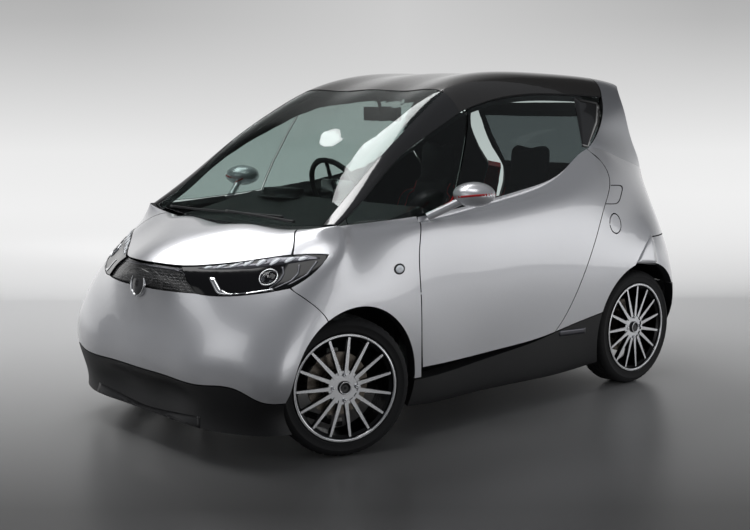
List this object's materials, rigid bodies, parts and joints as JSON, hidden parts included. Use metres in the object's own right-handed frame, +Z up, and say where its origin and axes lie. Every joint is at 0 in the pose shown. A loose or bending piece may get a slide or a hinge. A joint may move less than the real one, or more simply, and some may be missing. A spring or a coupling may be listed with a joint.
{
  "type": "microcar",
  "caption": "Small city car with a tall rounded cabin and short nose; doors, bonnet, tailgate and filler flap open, front wheels steer, all wheels spin.",
  "frame": {"origin": "on the ground, below the middle of the overall box", "axes": "+X forward, +Y to the car's left, +Z up"},
  "size_m": [2.6902, 1.764, 1.4832],
  "materials": {
    "paint": "silver metallic lacquer",
    "hoop_paint": "darker silver lacquer",
    "black_gloss": "polished black",
    "dark_trim": "grained",
    "glass": "lightly tinted, clear",
    "lamp": "clear cover over black",
    "tail_lamp": "clear red",
    "tyre": "matt",
    "alloy": "machined faces, dark between",
    "steel": "turned",
    "underbody": "sprayed",
    "seat_cloth": "woven",
    "cabin_plastic": "soft grained"
  },
  "bodies": {
    "car_body": {"front_bumper": "paint", "front_valance": "dark_trim", "grille": "black_gloss", "headlamps": "lamp", "front_wings": "paint", "sills": "dark_trim", "rear_quarter_left": "paint", "rear_quarter_right": "paint", "roof_hoop": "hoop_paint", "rear_bumper": "paint", "rear_valance": "dark_trim", "tail_lamps": "tail_lamp", "windscreen": "glass", "screen_pillars": "black_gloss", "roof": "black_gloss", "quarter_glass": "glass", "floor_pan": "underbody", "motor": "underbody", "seat_left": "seat_cloth", "seat_right": "seat_cloth", "dashboard": "cabin_plastic", "cabin_mirror": "cabin_plastic", "rear_axle": "underbody", "front_axle": "underbody"},
    "steer_left": {"knuckle_left": "steel"},
    "steer_right": {"knuckle_right": "steel"},
    "door_left": {"door_left": "paint", "door_glass_left": "glass", "mirror_left": "paint"},
    "door_right": {"door_right": "paint", "door_glass_right": "glass", "mirror_right": "paint"},
    "bonnet": {"bonnet": "paint"},
    "tailgate": {"tailgate": "black_gloss", "tailgate_glass": "glass"},
    "filler_flap": {"filler_flap": "paint"},
    "steering_wheel": {"steering_wheel": "cabin_plastic"},
    "wheel_front_left": {"tyre_front_left": "tyre", "rim_front_left": "alloy", "disc_front_left": "steel"},
    "wheel_front_right": {"tyre_front_right": "tyre", "rim_front_right": "alloy", "disc_front_right": "steel"},
    "wheel_rear_left": {"tyre_rear_left": "tyre", "rim_rear_left": "alloy", "disc_rear_left": "steel"},
    "wheel_rear_right": {"tyre_rear_right": "tyre", "rim_rear_right": "alloy", "disc_rear_right": "steel"}
  },
  "joints": [
    {"name": "steer_left", "type": "hinge", "parent": "car_body", "child": "steer_left", "pos_m": [0.82, 0.608, 0.272], "axis": [0, 0, 1], "range_deg": [-16.3, 53.7]},
    {"name": "spin_front_left", "type": "hinge", "parent": "steer_left", "child": "wheel_front_left", "pos_m": [0.82, 0.608, 0.272], "axis": [0.3206, 0.9472, 0], "continuous": true},
    {"name": "spin_rear_left", "type": "hinge", "parent": "car_body", "child": "wheel_rear_left", "pos_m": [-0.97, 0.608, 0.272], "axis": [0, 1, 0], "continuous": true},
    {"name": "door_hinge_left", "type": "hinge", "parent": "car_body", "child": "door_left", "pos_m": [0.4739, 0.717, 0.6], "axis": [0, 0, -1], "range_deg": [0, 65]},
    {"name": "steer_right", "type": "hinge", "parent": "car_body", "child": "steer_right", "pos_m": [0.82, -0.608, 0.272], "axis": [0, 0, 1], "range_deg": [-16.3, 53.7]},
    {"name": "spin_front_right", "type": "hinge", "parent": "steer_right", "child": "wheel_front_right", "pos_m": [0.82, -0.608, 0.272], "axis": [0.3206, 0.9472, 0], "continuous": true},
    {"name": "spin_rear_right", "type": "hinge", "parent": "car_body", "child": "wheel_rear_right", "pos_m": [-0.97, -0.608, 0.272], "axis": [0, 1, 0], "continuous": true},
    {"name": "door_hinge_right", "type": "hinge", "parent": "car_body", "child": "door_right", "pos_m": [0.4739, -0.717, 0.6], "axis": [0, 0, 1], "range_deg": [0, 65]},
    {"name": "bonnet_hinge", "type": "hinge", "parent": "car_body", "child": "bonnet", "pos_m": [0.9, 0, 0.885], "axis": [0, -1, 0], "range_deg": [0, 55]},
    {"name": "tailgate_hinge", "type": "hinge", "parent": "car_body", "child": "tailgate", "pos_m": [-1.085, 0, 1.335], "axis": [0, 1, 0], "range_deg": [0, 70]},
    {"name": "filler_hinge", "type": "hinge", "parent": "car_body", "child": "filler_flap", "pos_m": [-0.7346, 0.7115, 0.786], "axis": [0, 0, -1], "range_deg": [0, 100]},
    {"name": "steering_turn", "type": "hinge", "parent": "car_body", "child": "steering_wheel", "pos_m": [0.041, -0.31, 0.915], "axis": [-0.9135, 0, 0.4067], "range_deg": [-230, 753]}
  ],
  "couplings": [
    {"joint": "steer_right", "follows": "steer_left", "ratio": 1},
    {"joint": "steering_turn", "follows": "steer_left", "ratio": 14}
  ]
}
